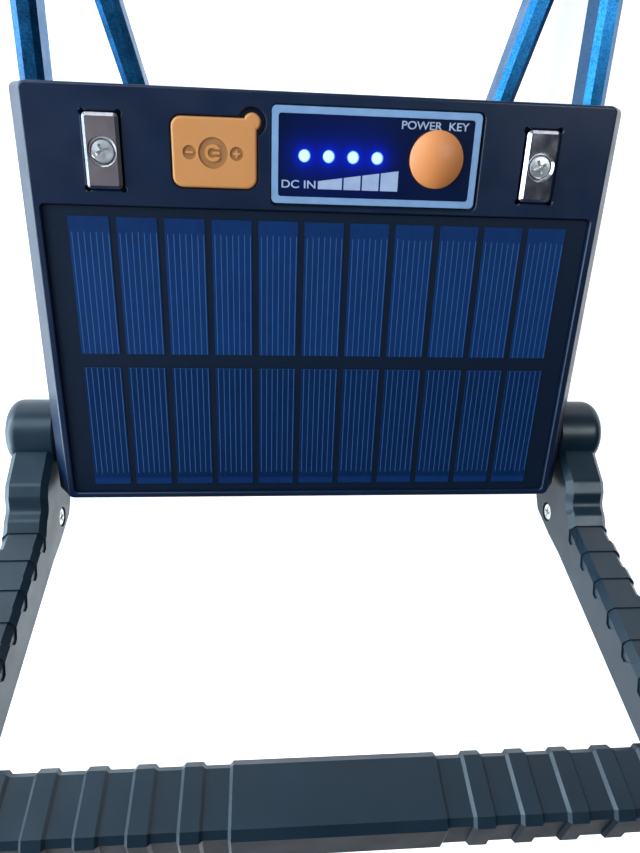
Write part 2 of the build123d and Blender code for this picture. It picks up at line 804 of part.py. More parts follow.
def pivot_disc(start_x, end_x, radius, bore):
    """A ring on the pivot axis from start_x to end_x."""
    with BuildSketch(Plane.YZ.offset(start_x)) as ring:
        with Locations((hub_y, hub_z)):
            Circle(radius)
            Circle(bore, mode=Mode.SUBTRACT)
    extrude(ring.sketch, amount=end_x - start_x)


with BuildPart() as pivot_brackets:
    with BuildSketch(Plane.YZ.offset(bracket_inner)):
        with Locations((hub_y, hub_z)):
            RectangleRounded(13.4, 22.0, 2.0)
            Circle(pivot_radius + 0.05, mode=Mode.SUBTRACT)
    extrude(amount=bracket_outer - bracket_inner)
    mirror(about=Plane.YZ)
save(pivot_brackets, "pivot_brackets")

with BuildPart() as pivot_nuts:
    with BuildSketch(Plane.YZ.offset(bracket_inner - 5.0)):
        with Locations((hub_y, hub_z)):
            RegularPolygon(5.0, 6, major_radius=False)
            Circle(pivot_radius + 0.05, mode=Mode.SUBTRACT)
    extrude(amount=5.0)
    mirror(about=Plane.YZ)
save(pivot_nuts, "pivot_nuts")

with BuildPart() as pivot_bolts:
    with BuildSketch(Plane.YZ.offset(bracket_inner - 6.5)):
        with Locations((hub_y, hub_z)):
            Circle(pivot_radius)
    extrude(amount=bolt_head_at - bracket_inner + 6.5)
    with BuildSketch(Plane.YZ.offset(bolt_head_at)):
        with Locations((hub_y, hub_z)):
            Circle(5.2)
    extrude(amount=bolt_head_height)
    fillet(pivot_bolts.faces().sort_by(Axis.X)[-1].edges(), radius=1.2)
    with BuildSketch(Plane.YZ.offset(bolt_head_at + bolt_head_height)):
        with Locations((hub_y, hub_z)):
            RegularPolygon(2.0, 6, major_radius=False)
    extrude(amount=-1.9, mode=Mode.SUBTRACT)
    mirror(about=Plane.YZ)
save(pivot_bolts, "pivot_bolts")

with BuildPart() as friction_washers:
    pivot_disc(half_width, hub_inner_x - 0.3, 9.0, pivot_radius + 0.05)
    mirror(about=Plane.YZ)
save(friction_washers, "friction_washers")

with BuildPart() as flat_washers:
    pivot_disc(washer_seat + 0.3, washer_seat + 1.3, 5.6, pivot_radius + 0.05)
    mirror(about=Plane.YZ)
save(flat_washers, "flat_washers")

with BuildPart() as disc_springs:
    with BuildSketch(Plane.XY.offset(hub_z)):
        with BuildLine():
            start = washer_seat + 1.3
            Polyline((start + 0.5, hub_y + 3.05), (start + 1.2, hub_y + 3.05),
                     (start + 0.7, hub_y + 5.4), (start, hub_y + 5.4), close=True)
        make_face()
    revolve(axis=Axis((0, hub_y, hub_z), (1, 0, 0)))
    mirror(about=Plane.YZ)
save(disc_springs, "disc_springs")

# ================================================================ swing stand
tongue_near = 13.0
tongue_inner = 95.2
tongue_outer = 102.2
tongue_front = -18.4
tongue_back = -29.0
screw_at = 18.2
screw_offset = -25.2
hub_axis = Axis((0, hub_y, hub_z), (1, 0, 0))
across_axis = Axis((0, hub_y, hub_z), across)
along_axis = Axis((0, hub_y, hub_z), along)

with BuildPart() as knuckle_right:
    with BuildSketch(side_plane(arm_outer_x)) as knuckle_outline:
        with BuildLine():
            Polyline((11.3, 0.8), (23.4, -3.4), (26.8, -6.6), (28.6, -10.6), (32.0, -11.8),
                     (knuckle_end, arm_front), (knuckle_end, arm_back), (25.0, -32.4),
                     (11.0, -32.4), (1.0, -25.0), (-9.4, -6.9), (0.0, 5.0), close=True)
        make_face()
        Circle(hub_radius - 0.1)
        bends = knuckle_outline.vertices().filter_by_position(Axis.X, -20, knuckle_end - 0.5)
        fillet(bends.filter_by(lambda p: p.X > 12), radius=3.6)
    extrude(amount=arm_outer_x - arm_inner_x)
    knuckle_sides = knuckle_right.faces().filter_by(Axis.X)
    rim = knuckle_sides.edges().filter_by_position(along_axis, -20, knuckle_end - 0.5)
    chamfer(rim, length=stand_bevel)
    with BuildSketch(Plane.XY.offset(hub_z)):
        with BuildLine():
            Polyline((hub_outer_x, hub_y + hub_radius - hub_round), (hub_outer_x, hub_y),
                     (hub_inner_x, hub_y), (hub_inner_x, hub_y + hub_radius - 0.5),
                     (hub_inner_x + 0.5, hub_y + hub_radius),
                     (hub_outer_x - hub_round, hub_y + hub_radius))
            RadiusArc((hub_outer_x - hub_round, hub_y + hub_radius),
                      (hub_outer_x, hub_y + hub_radius - hub_round), hub_round)
        make_face()
    revolve(axis=hub_axis)
    # bore for the pivot bolt, well for its head and seat for the cap
    with BuildSketch(Plane.YZ.offset(hub_inner_x - 1)):
        with Locations((hub_y, hub_z)):
            Circle(pivot_radius + bore_gap)
    extrude(amount=hub_outer_x, mode=Mode.SUBTRACT)
    with BuildSketch(Plane.YZ.offset(washer_seat)):
        with Locations((hub_y, hub_z)):
            Circle(6.3)
    extrude(amount=hub_outer_x, mode=Mode.SUBTRACT)
    with BuildSketch(Plane.YZ.offset(hub_outer_x - 2.2)):
        with Locations((hub_y, hub_z)):
            Circle(7.1)
    extrude(amount=hub_outer_x, mode=Mode.SUBTRACT)
    # socket for the grip's tongue, screw hole and its counterbore on the inner face
    with BuildSketch(side_plane(tongue_outer)):
        with BuildLine():
            Polyline((tongue_near, tongue_front), (knuckle_end + 1, tongue_front),
                     (knuckle_end + 1, tongue_back), (tongue_near, tongue_back), close=True)
        make_face()
    extrude(amount=tongue_outer - tongue_inner, mode=Mode.SUBTRACT)
    with BuildSketch(side_plane(104.0)):
        with Locations((screw_at, screw_offset)):
            Circle(1.7)
    extrude(amount=14, mode=Mode.SUBTRACT)
    with BuildSketch(side_plane(arm_inner_x + 1.9)):
        with Locations((screw_at, screw_offset)):
            Circle(3.6)
    extrude(amount=4, mode=Mode.SUBTRACT)
save(knuckle_right, "knuckle_right")

with BuildPart() as knuckle_left:
    mirror(knuckle_right.part, about=Plane.YZ)
save(knuckle_left, "knuckle_left")

with BuildPart() as hub_caps:
    with BuildSketch(Plane.YZ.offset(hub_outer_x - 2.15)):
        with Locations((hub_y, hub_z)):
            Circle(7.05)
    extrude(amount=2.15)
    fillet(hub_caps.faces().sort_by(Axis.X)[-1].edges(), radius=0.4)
    mirror(about=Plane.YZ)
save(hub_caps, "hub_caps")

with BuildPart() as arm_screws:
    with BuildSketch(side_plane(arm_inner_x + 1.85)):
        with Locations((screw_at, screw_offset)):
            Circle(3.2)
    extrude(amount=1.5)
    fillet(arm_screws.faces().sort_by(Axis.X)[0].edges(), radius=0.6)
    with BuildSketch(side_plane(103.6)):
        with Locations((screw_at, screw_offset)):
            Circle(1.55)
    extrude(amount=103.6 - arm_inner_x - 1.85)
    with BuildSketch(side_plane(arm_inner_x + 1.4)):
        with Locations((screw_at, screw_offset)):
            Rectangle(3.6, 0.8, rotation=20)
            Rectangle(0.8, 3.6, rotation=20)
    extrude(amount=2, mode=Mode.SUBTRACT)
    mirror(about=Plane.YZ)
save(arm_screws, "arm_screws")


def bevelled_arm_core(start, end, inset):
    """Straight bar with bevelled edges, inset from the arm's own surfaces."""
    with BuildSketch(Plane(origin=(0, hub_y, hub_z), x_dir=(1, 0, 0), z_dir=along).offset(start)) as section:
        middle = (arm_inner_x + arm_outer_x) / 2
        with Locations((middle, (arm_front + arm_back) / 2)):
            Rectangle(arm_outer_x - arm_inner_x - 2 * inset, arm_front - arm_back - 2 * inset)
        chamfer(section.vertices(), length=stand_bevel)
    extrude(section.sketch, amount=end - start, mode=Mode.SUBTRACT)


# cutter for one groove of an arm: a wedge-ended band minus the core that stays
with BuildPart() as arm_groove:
    with BuildSketch(side_plane(arm_outer_x + 3)):
        with BuildLine():
            Polyline((knuckle_end, arm_front + 3), (knuckle_end + arm_groove_length, arm_front + 3),
                     (knuckle_end + arm_groove_length, arm_front - 1.4),
                     (knuckle_end + arm_groove_length - groove_lean, arm_front - arm_groove_reach),
                     (knuckle_end + groove_lean, arm_front - arm_groove_reach),
                     (knuckle_end, arm_front - 1.4), close=True)
        make_face()
    extrude(amount=arm_outer_x - arm_inner_x + 6)
    bevelled_arm_core(knuckle_end - 2, knuckle_end + arm_groove_length + 2, arm_groove_depth)
    mirror(about=Plane.YZ)

# cutter for the grooves of the bar: a band minus a core that flares to the surface at both ends
bar_middle = ((bar_near + bar_far) / 2, (arm_front + arm_back) / 2)
near, far = bar_near + bar_groove_depth, bar_far - bar_groove_depth
front, back = arm_front - bar_groove_depth, arm_back + bar_groove_depth
core_bevel = stand_bevel - (2 - 2 ** 0.5) * bar_groove_depth
core_far_bevel = far_bevel - (2 - 2 ** 0.5) * bar_groove_depth
core_outline = [(near + core_bevel, front), (near, front - core_bevel), (near, back + core_bevel),
                (near + core_bevel, back), (far - core_far_bevel, back), (far, back + core_far_bevel),
                (far, front - core_bevel), (far - core_bevel, front)]
flare = bar_groove_depth + 0.05


def bar_core(x, normal, length, taper):
    """Takes the bar's core out of the cutter, from a given X along the normal."""
    with BuildSketch(Plane(origin=(x, hub_y, hub_z), x_dir=along, z_dir=(normal, 0, 0))) as core:
        with BuildLine():
            Polyline(*[(distance, -normal * offset) for distance, offset in core_outline], close=True)
        make_face()
    extrude(core.sketch, amount=length, taper=taper, mode=Mode.SUBTRACT)


groove_starts = [bar_pad_half + i * bar_groove_pitch for i in range(bar_grooves)]
with BuildPart() as bar_groove:
    for start in groove_starts:
        with BuildSketch(side_plane(start + bar_groove_length)):
            with Locations(bar_middle):
                Rectangle(30, 30)
        extrude(amount=bar_groove_length)
    for start in groove_starts:
        near_foot = start + bar_groove_depth
        far_foot = start + bar_groove_length - bar_groove_depth
        bar_core(near_foot, 1, far_foot - near_foot, 0)
        bar_core(near_foot, -1, flare, -45)
        bar_core(far_foot, 1, flare, -45)
    mirror(about=Plane.YZ)

flat_plane = Plane(origin=(0, *stand_point(0, arm_back)), x_dir=(-1, 0, 0), z_dir=across)
with BuildPart() as stand_grip:
    with BuildSketch(flat_plane):
        with BuildLine():
            Polyline((-arm_outer_x, knuckle_end), (-arm_outer_x, bar_far), (arm_outer_x, bar_far),
                     (arm_outer_x, knuckle_end), (arm_inner_x, knuckle_end), (arm_inner_x, bar_near),
                     (-arm_inner_x, bar_near), (-arm_inner_x, knuckle_end), close=True)
        make_face()
    extrude(amount=arm_front - arm_back)
    thick_edges = stand_grip.edges().filter_by(across_axis)
    fillet(thick_edges.filter_by_position(along_axis, bar_far - 1, bar_far + 1), radius=5.0)
    inner_corners = stand_grip.edges().filter_by(across_axis).filter_by_position(
        along_axis, bar_near - 1, bar_near + 1)
    fillet(inner_corners, radius=3.5)
    front_run = stand_grip.edges().filter_by_position(across_axis, arm_front - 0.01, arm_front + 0.01)
    back_run = stand_grip.edges().filter_by_position(across_axis, arm_back - 0.01, arm_back + 0.01)
    outline_run = (front_run + back_run).filter_by_position(along_axis, knuckle_end + 0.5, bar_far + 1)
    chamfer(outline_run, length=stand_bevel)
    with BuildSketch(side_plane(arm_outer_x + 5)):
        with BuildLine():
            Polyline((bar_far + 1, arm_back - 1), (bar_far - far_bevel - 1, arm_back - 1),
                     (bar_far + 1, arm_back + far_bevel + 1), close=True)
        make_face()
    extrude(amount=2 * arm_outer_x + 10, mode=Mode.SUBTRACT)
    add(bar_groove.part, mode=Mode.SUBTRACT)
    for i in range(arm_grooves):
        shift = i * arm_groove_pitch
        with Locations((0, shift * tilt_cos, shift * tilt_sin)):
            add(arm_groove.part, mode=Mode.SUBTRACT)
    # tongues that plug into the knuckles, with a cross hole for the arm screw
    for x in (tongue_outer - 0.15, -tongue_inner - 0.15):
        with BuildSketch(side_plane(x)):
            with BuildLine():
                Polyline((tongue_near + 0.4, tongue_front - 0.15), (knuckle_end + 2, tongue_front - 0.15),
                         (knuckle_end + 2, tongue_back + 0.15), (tongue_near + 0.4, tongue_back + 0.15),
                         close=True)
            make_face()
        extrude(amount=tongue_outer - tongue_inner - 0.3)
    with BuildSketch(side_plane(arm_outer_x)):
        with Locations((screw_at, screw_offset)):
            Circle(1.7)
    extrude(amount=2 * arm_outer_x, mode=Mode.SUBTRACT)
save(stand_grip, "stand_grip")
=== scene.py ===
import math
import random

import bmesh
import bpy
from mathutils import Matrix, Vector


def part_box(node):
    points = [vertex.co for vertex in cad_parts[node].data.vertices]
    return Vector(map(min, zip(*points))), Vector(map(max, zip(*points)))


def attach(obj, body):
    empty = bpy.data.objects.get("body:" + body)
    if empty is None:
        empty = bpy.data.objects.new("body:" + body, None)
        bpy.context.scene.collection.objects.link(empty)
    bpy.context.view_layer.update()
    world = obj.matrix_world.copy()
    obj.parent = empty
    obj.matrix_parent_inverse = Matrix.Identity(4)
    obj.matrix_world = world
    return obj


# Looks of the solar flood light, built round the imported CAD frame. Metres, in the row frame.
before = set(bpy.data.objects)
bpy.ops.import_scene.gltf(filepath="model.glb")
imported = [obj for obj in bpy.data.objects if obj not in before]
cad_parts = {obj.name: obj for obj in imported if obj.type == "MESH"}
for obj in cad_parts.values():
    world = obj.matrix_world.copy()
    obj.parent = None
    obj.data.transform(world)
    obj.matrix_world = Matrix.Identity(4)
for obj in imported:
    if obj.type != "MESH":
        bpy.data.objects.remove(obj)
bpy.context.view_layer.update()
MM = 0.001
random.seed(7)


def middle(node):
    """Middle of a node's box at rest."""
    low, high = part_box(node)
    return (Vector(low) + Vector(high)) / 2


def top(node):
    """Height of a node's highest point at rest."""
    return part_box(node)[1][2]


body_mid = middle("rear_housing")
face_z = top("rear_housing")


# ---------------------------------------------------------------- shader building
class Surface:
    """A principled material with a few helpers for its node tree."""

    def __init__(self, name, colour, roughness=0.5, metallic=0.0, **sockets):
        self.material = bpy.data.materials.new(name)
        self.material.use_nodes = True
        self.tree = self.material.node_tree
        self.shader = self.tree.nodes["Principled BSDF"]
        self.shader.inputs["Base Color"].default_value = (*colour, 1.0)
        self.shader.inputs["Roughness"].default_value = roughness
        self.shader.inputs["Metallic"].default_value = metallic
        for key, value in sockets.items():
            self.shader.inputs[key.replace("_", " ")].default_value = value
        self.colour = colour
        self.place = self.node("ShaderNodeTexCoord").outputs["Object"]

    def node(self, kind, **settings):
        made = self.tree.nodes.new(kind)
        for key, value in settings.items():
            setattr(made, key, value)
        return made

    def feed(self, socket, value):
        """Links an output to a socket, or sets the socket's own value."""
        if isinstance(value, bpy.types.NodeSocket):
            self.tree.links.new(value, socket)
        else:
            socket.default_value = value

    def maths(self, operation, a, b=0.0, c=0.0):
        made = self.node("ShaderNodeMath", operation=operation)
        for socket, value in zip(made.inputs, (a, b, c)):
            self.feed(socket, value)
        return made.outputs[0]

    def axes(self):
        """X, Y and Z of the shaded point, in metres."""
        made = self.node("ShaderNodeSeparateXYZ")
        self.feed(made.inputs[0], self.place)
        return made.outputs

    def stretched(self, scale):
        made = self.node("ShaderNodeMapping")
        self.feed(made.inputs["Vector"], self.place)
        made.inputs["Scale"].default_value = scale
        return made.outputs[0]

    def noise(self, scale, detail=3.0, rough=0.5, vector=None):
        made = self.node("ShaderNodeTexNoise")
        self.feed(made.inputs["Vector"], vector or self.place)
        made.inputs["Scale"].default_value = scale
        made.inputs["Detail"].default_value = detail
        made.inputs["Roughness"].default_value = rough
        return made.outputs["Fac"]

    def cells(self, scale, output="Distance", vector=None):
        made = self.node("ShaderNodeTexVoronoi")
        self.feed(made.inputs["Vector"], vector or self.place)
        made.inputs["Scale"].default_value = scale
        return made.outputs[output]

    def span(self, value, low, high, new_low=0.0, new_high=1.0):
        made = self.node("ShaderNodeMapRange")
        for socket, given in zip(made.inputs, (value, low, high, new_low, new_high)):
            self.feed(socket, given)
        return made.outputs[0]

    def mix(self, factor, a, b, blend="MIX"):
        made = self.node("ShaderNodeMix", data_type="RGBA", blend_type=blend)
        for name, value in (("Factor", factor), ("A", a), ("B", b)):
            sockets = [s for s in made.inputs if s.name == name and s.enabled]
            if name != "Factor" and not isinstance(value, bpy.types.NodeSocket):
                value = (*value, 1.0)
            self.feed(sockets[0], value)
        return [s for s in made.outputs if s.enabled][0]

    def paint(self, value):
        self.feed(self.shader.inputs["Base Color"], value)

    def gloss(self, value):
        self.feed(self.shader.inputs["Roughness"], value)

    def relief(self, height, strength, distance):
        made = self.node("ShaderNodeBump")
        made.inputs["Strength"].default_value = strength
        made.inputs["Distance"].default_value = distance
        self.feed(made.inputs["Height"], height)
        self.feed(self.shader.inputs["Normal"], made.outputs[0])

    def mottle(self, scale, light, dark):
        """Slow colour variation between two multiples of the base colour."""
        lighter = tuple(min(1.0, c * light) for c in self.colour)
        darker = tuple(c * dark for c in self.colour)
        self.paint(self.mix(self.span(self.noise(scale), 0.3, 0.7), darker, lighter))


def moulded(name, colour, roughness=0.42, grain=2600, depth=0.03, **sockets):
    """Injection-moulded plastic: fine spark-erosion grain, slightly uneven gloss."""
    made = Surface(name, colour, roughness, **sockets)
    made.mottle(38, 1.18, 0.86)
    made.gloss(made.span(made.noise(90, 4), 0.3, 0.7, roughness - 0.05, roughness + 0.07))
    made.relief(made.noise(grain, 2, 0.6), 0.5, depth * MM)
    return made.material


def silicone(name, colour, sunk=None):
    """Soft silicone rubber, with painted shade darkening its sunk marks where their two levels are
    given.
    """
    made = Surface(name, colour, 0.46, Subsurface_Weight=0.4, Subsurface_Scale=0.003)
    made.shader.inputs["Subsurface Radius"].default_value = (1.0, 0.35, 0.12)
    if sunk is None:
        made.mottle(70, 1.08, 0.92)
    else:
        floor_level, rim_level = sunk
        # painted shade: the floors of the sunk marks are darkened towards the lower of the two levels
        depth = made.span(made.axes()[2], floor_level, rim_level)
        painted_shade = tuple(c * 0.62 for c in colour)
        made.paint(made.mix(depth, painted_shade, colour))
    made.gloss(made.span(made.noise(150, 4), 0.3, 0.7, 0.40, 0.54))
    made.relief(made.noise(1500, 3), 0.35, 0.03 * MM)
    return made.material


def metal(name, colour, roughness, grain=(900, 60, 900), depth=0.01):
    """Plated or bare metal with faint drawn lines and smudges."""
    made = Surface(name, colour, roughness, 1.0)
    made.mottle(120, 1.06, 0.9)
    made.gloss(made.span(made.noise(210, 5), 0.3, 0.7, roughness * 0.7, roughness * 1.6))
    made.relief(made.noise(1, 4, 0.6, made.stretched(grain)), 0.25, depth * MM)
    return made.material


def lacquered_blue():
    """Metallic blue lacquer: fine flake, slow shade change and a few bright scratches."""
    made = Surface("blue_lacquer", (0.005, 0.065, 0.175), 0.36, 0.92)
    shade = made.node("ShaderNodeSeparateColor")
    made.feed(shade.inputs[0], made.cells(2600, "Color"))
    base = made.mix(made.span(made.noise(26), 0.35, 0.65), (0.003, 0.050, 0.140), (0.007, 0.082, 0.215))
    flaked = made.mix(made.maths("MULTIPLY", shade.outputs[0], 0.35), base, (0.04, 0.27, 0.55))
    streak = made.noise(1, 5, 0.65, made.stretched((420, 46, 420)))
    patch = made.span(made.noise(34, 2), 0.60, 0.68)
    scratch = made.maths("MULTIPLY", made.span(streak, 0.66, 0.70), patch)
    made.paint(made.mix(scratch, flaked, (0.20, 0.62, 0.86)))
    made.gloss(made.span(made.noise(140, 4), 0.3, 0.7, 0.24, 0.40))
    made.relief(made.noise(1300, 3), 0.18, 0.02 * MM)
    return made.material


def silicon():
    """Polycrystalline cell: small angular grains of slightly different blue."""
    made = Surface("silicon_blue", (0.003, 0.028, 0.120), 0.36, 0.0, Specular_IOR_Level=0.25)
    grains = made.node("ShaderNodeTexVoronoi")
    made.feed(grains.inputs["Vector"], made.stretched((1.0, 0.45, 1.0)))
    grains.inputs["Scale"].default_value = 760
    shade = made.node("ShaderNodeSeparateColor")
    made.feed(shade.inputs[0], grains.outputs["Color"])
    fine = made.span(shade.outputs[0], 0, 1, 0.25, 0.75)
    slow = made.span(made.noise(22), 0.35, 0.65)
    deep = made.mix(slow, (0.0018, 0.0175, 0.074), (0.0030, 0.0270, 0.110))
    made.paint(made.mix(fine, deep, (0.0026, 0.0300, 0.125)))
    made.relief(shade.outputs[0], 0.06, 0.02 * MM)
    return made.material


def backsheet():
    """Dark navy sheet behind the cells, with sparse lighter specks."""
    navy = (0.0015, 0.0060, 0.018)
    made = Surface("backsheet_navy", navy, 0.45, Specular_IOR_Level=0.25)
    specks = made.span(made.cells(900), 0.0, 0.12, 1.0, 0.0)
    speckle = made.maths("MULTIPLY", specks, 0.25)
    made.paint(made.mix(speckle, navy, (0.008, 0.020, 0.045)))
    made.relief(made.noise(1900, 3), 0.4, 0.03 * MM)
    return made.material


def resin():
    """Clear laminate over the cells: nearly invisible, satin."""
    made = Surface("clear_laminate", (0.01, 0.03, 0.06), 0.32, 0.0, Alpha=0.06, Specular_IOR_Level=0.3)
    made.gloss(made.span(made.noise(60, 4), 0.3, 0.7, 0.26, 0.42))
    made.relief(made.noise(700, 3), 0.12, 0.02 * MM)
    return made.material


def clear_lens():
    made = Surface("clear_lens", (0.93, 0.96, 0.98), 0.06, 0.0, Transmission_Weight=0.9, IOR=1.49)
    made.gloss(made.span(made.noise(50, 4), 0.3, 0.7, 0.04, 0.12))
    made.relief(made.noise(500, 2), 0.05, 0.01 * MM)
    return made.material


def indicator():
    """Lit blue indicator: white-hot dome top, blue flanks."""
    made = Surface("lit_indicator", (0.05, 0.25, 0.80), 0.2, Emission_Strength=1.7)
    facing = made.node("ShaderNodeNewGeometry")
    split = made.node("ShaderNodeSeparateXYZ")
    made.feed(split.inputs[0], facing.outputs["Normal"])
    core = made.span(split.outputs["Z"], 0.1, 0.8)
    glow = made.mix(core, (0.02, 0.22, 1.0), (0.42, 0.92, 1.0))
    made.feed(made.shader.inputs["Emission Color"], glow)
    return made.material


def print_with_painted_glow(led_places, reach):
    """Dark navy print with painted light: a blue glow emitted round each indicator, though the print is
    no lamp.
    """
    made = Surface("print_with_painted_glow", (0.0006, 0.005, 0.026), 0.34, 0.0,
                   Emission_Strength=1.6, Specular_IOR_Level=0.15)
    x, y, _ = made.axes()
    total = 0.0
    for place in led_places:
        across = made.maths("POWER", made.maths("SUBTRACT", x, place.x), 2.0)
        along = made.maths("POWER", made.maths("SUBTRACT", y, place.y), 2.0)
        distance = made.maths("SQRT", made.maths("ADD", across, along))
        near = made.maths("EXPONENT", made.maths("MULTIPLY", distance, -1.0 / reach))
        wide = made.maths("EXPONENT", made.maths("MULTIPLY", distance, -1.0 / (3.6 * reach)))
        both = made.maths("MULTIPLY_ADD", wide, 0.06, near)
        total = made.maths("ADD", both, total)
    # painted light: blue emission that falls off with distance from each indicator
    glow = made.mix(made.maths("MINIMUM", total, 1.0), (0.0, 0.0, 0.0), (0.0, 0.012, 1.0))
    made.feed(made.shader.inputs["Emission Color"], glow)
    made.mottle(60, 1.3, 0.8)
    made.relief(made.noise(900, 3), 0.2, 0.015 * MM)
    return made.material


def print_ink(name, colour, metallic=0.3):
    made = Surface(name, colour, 0.36, metallic)
    made.mottle(240, 1.08, 0.9)
    made.relief(made.noise(1400, 3), 0.15, 0.01 * MM)
    return made.material


housing_plastic = moulded("housing_plastic", (0.0028, 0.0100, 0.0300), 0.34, Specular_IOR_Level=0.36)
stand_plastic = moulded("stand_plastic", (0.0038, 0.0135, 0.0225), 0.34,
                        Specular_IOR_Level=0.37, grain=2200, depth=0.045)
black_plastic = moulded("black_plastic", (0.014, 0.014, 0.016), 0.45)
grip_rubber = moulded("grip_rubber", (0.012, 0.013, 0.015), 0.62, grain=1500, depth=0.08)
orange_button = silicone("orange_button", (0.700, 0.240, 0.068))
cover_top = top("port_cover")
# levels between which the cover's sunk marks get painted shade
mark_levels = (cover_top - 0.36 * MM, cover_top - 0.12 * MM)
orange_cover = silicone("orange_cover", (0.600, 0.236, 0.066), mark_levels)
nickel = metal("nickel_plate", (0.66, 0.62, 0.64), 0.14)
screw_metal = metal("screw_metal", (0.80, 0.80, 0.78), 0.34, depth=0.02)
steel = metal("zinc_steel", (0.55, 0.56, 0.58), 0.28)
aluminium = metal("bare_aluminium", (0.72, 0.73, 0.74), 0.30)
brass = metal("insert_brass", (0.70, 0.50, 0.20), 0.25)
silver_print = print_ink("silver_print", (0.225, 0.345, 0.530), 0.15)
white_print = print_ink("white_print", (0.34, 0.39, 0.52), 0.0)
finger_print = print_ink("finger_print", (0.045, 0.135, 0.310), 0.2)

led_places = []
led_low, led_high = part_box("indicator_leds")
led_count = 4
for i in range(led_count):
    step = (led_high[0] - led_low[0] - (led_high[1] - led_low[1])) / (led_count - 1)
    first = led_low[0] + (led_high[1] - led_low[1]) / 2
    led_places.append(Vector((first + i * step, (led_low[1] + led_high[1]) / 2, led_high[2])))

LOOKS = {
    "rear_housing": housing_plastic, "solar_backsheet": backsheet(), "solar_cells": silicon(),
    "panel_resin": resin(), "control_plate": silver_print, "indicator_leds": indicator(),
    "power_button": orange_button, "switch_body": black_plastic, "switch_plunger": black_plastic,
    "port_cover": orange_cover, "usb_socket": steel, "charge_socket": steel, "magnets": nickel,
    "magnet_screws": screw_metal, "board_screws": steel, "board_chips": black_plastic,
    "power_coil": black_plastic, "battery_cradle": black_plastic, "battery_contacts": steel,
    "heat_sink": aluminium, "sink_screws": steel, "lens_gasket": grip_rubber,
    "front_lens": clear_lens(), "front_frame": lacquered_blue(), "carry_grip": grip_rubber,
    "frame_screws": screw_metal, "thread_inserts": brass, "pivot_brackets": steel,
    "pivot_nuts": steel, "pivot_bolts": steel, "flat_washers": steel, "disc_springs": steel,
    "knuckle_left": stand_plastic, "knuckle_right": stand_plastic, "hub_caps": stand_plastic,
    "arm_screws": screw_metal, "stand_grip": stand_plastic,
    "main_board": moulded("solder_mask", (0.012, 0.120, 0.050), 0.35),
    "battery_cells": moulded("battery_wrap", (0.020, 0.160, 0.380), 0.25, grain=900),
    "battery_leads": moulded("lead_red", (0.420, 0.016, 0.016), 0.45),
    "lamp_leads": moulded("lead_black", (0.016, 0.016, 0.016), 0.45),
    "panel_leads": moulded("lead_yellow", (0.600, 0.400, 0.030), 0.45),
    "led_board": moulded("white_mask", (0.780, 0.790, 0.770), 0.35),
    "led_emitters": moulded("phosphor", (0.850, 0.620, 0.080), 0.40),
    "reflector": moulded("white_reflector", (0.830, 0.840, 0.850), 0.22, grain=800),
    "friction_washers": moulded("nylon", (0.62, 0.60, 0.55), 0.45),
}
for node, look in LOOKS.items():
    for material_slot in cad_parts[node].material_slots:
        material_slot.material = look


# ---------------------------------------------------------------- mesh building
def piece_from(bm, name, look, body="lamp"):
    mesh = bpy.data.meshes.new(name)
    bm.to_mesh(mesh)
    bm.free()
    made = bpy.data.objects.new(name, mesh)
    bpy.context.scene.collection.objects.link(made)
    made.data.materials.append(look)
    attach(made, body)
    return made


def add_prism(bm, outline, bottom, height):
    """Closed prism on a plan outline, given anticlockwise."""
    low = [bm.verts.new((x, y, bottom)) for x, y in outline]
    high = [bm.verts.new((x, y, bottom + height)) for x, y in outline]
    bm.faces.new(low[::-1])
    bm.faces.new(high)
    for i in range(len(outline)):
        j = (i + 1) % len(outline)
        bm.faces.new((low[i], low[j], high[j], high[i]))


def rounded_outline(centre, width, length, radius, steps=6):
    """Corner points of a rounded rectangle, anticlockwise."""
    points = []
    corners = ((1, 1, 0), (-1, 1, 90), (-1, -1, 180), (1, -1, 270))
    for side_x, side_y, start in corners:
        cx = centre.x + side_x * (width / 2 - radius)
        cy = centre.y + side_y * (length / 2 - radius)
        for i in range(steps + 1):
            angle = math.radians(start + 90 * i / steps)
            points.append((cx + radius * math.cos(angle), cy + radius * math.sin(angle)))
    return points


# ---------------------------------------------------------------- printed silver fingers on the cells
def cell_fingers():
    low, high = (Vector(v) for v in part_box("solar_cells"))
    pitch, width, length = 14.0 * MM, 11.9 * MM, 41.9 * MM
    columns = round((high.x - low.x - width) / pitch) + 1
    fingers, first, step = 7, 0.85 * MM, 1.78 * MM
    line, lift, blank = 0.20 * MM, 0.02 * MM, 4.4 * MM
    bm = bmesh.new()
    for column in range(columns):
        for upper in (True, False):
            start = high.y - length if upper else low.y + blank
            for i in range(fingers):
                x = low.x + column * pitch + first + i * step
                fray = random.uniform(-0.25, 0.25) * MM
                end = start + length - blank + (fray if upper else 0.0)
                begin = start + (0.0 if upper else fray)
                left, right = x - line / 2, x + line / 2
                outline = [(left, begin), (right, begin), (right, end), (left, end)]
                add_prism(bm, outline, high.z - lift / 2, lift)
    return piece_from(bm, "cell_fingers", finger_print)


cell_fingers()


# ---------------------------------------------------------------- control plate print
plate_low, plate_high = (Vector(v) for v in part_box("control_plate"))
plate_mid = (plate_low + plate_high) / 2
button_mid = middle("power_button")
print_z = face_z + 0.01 * MM


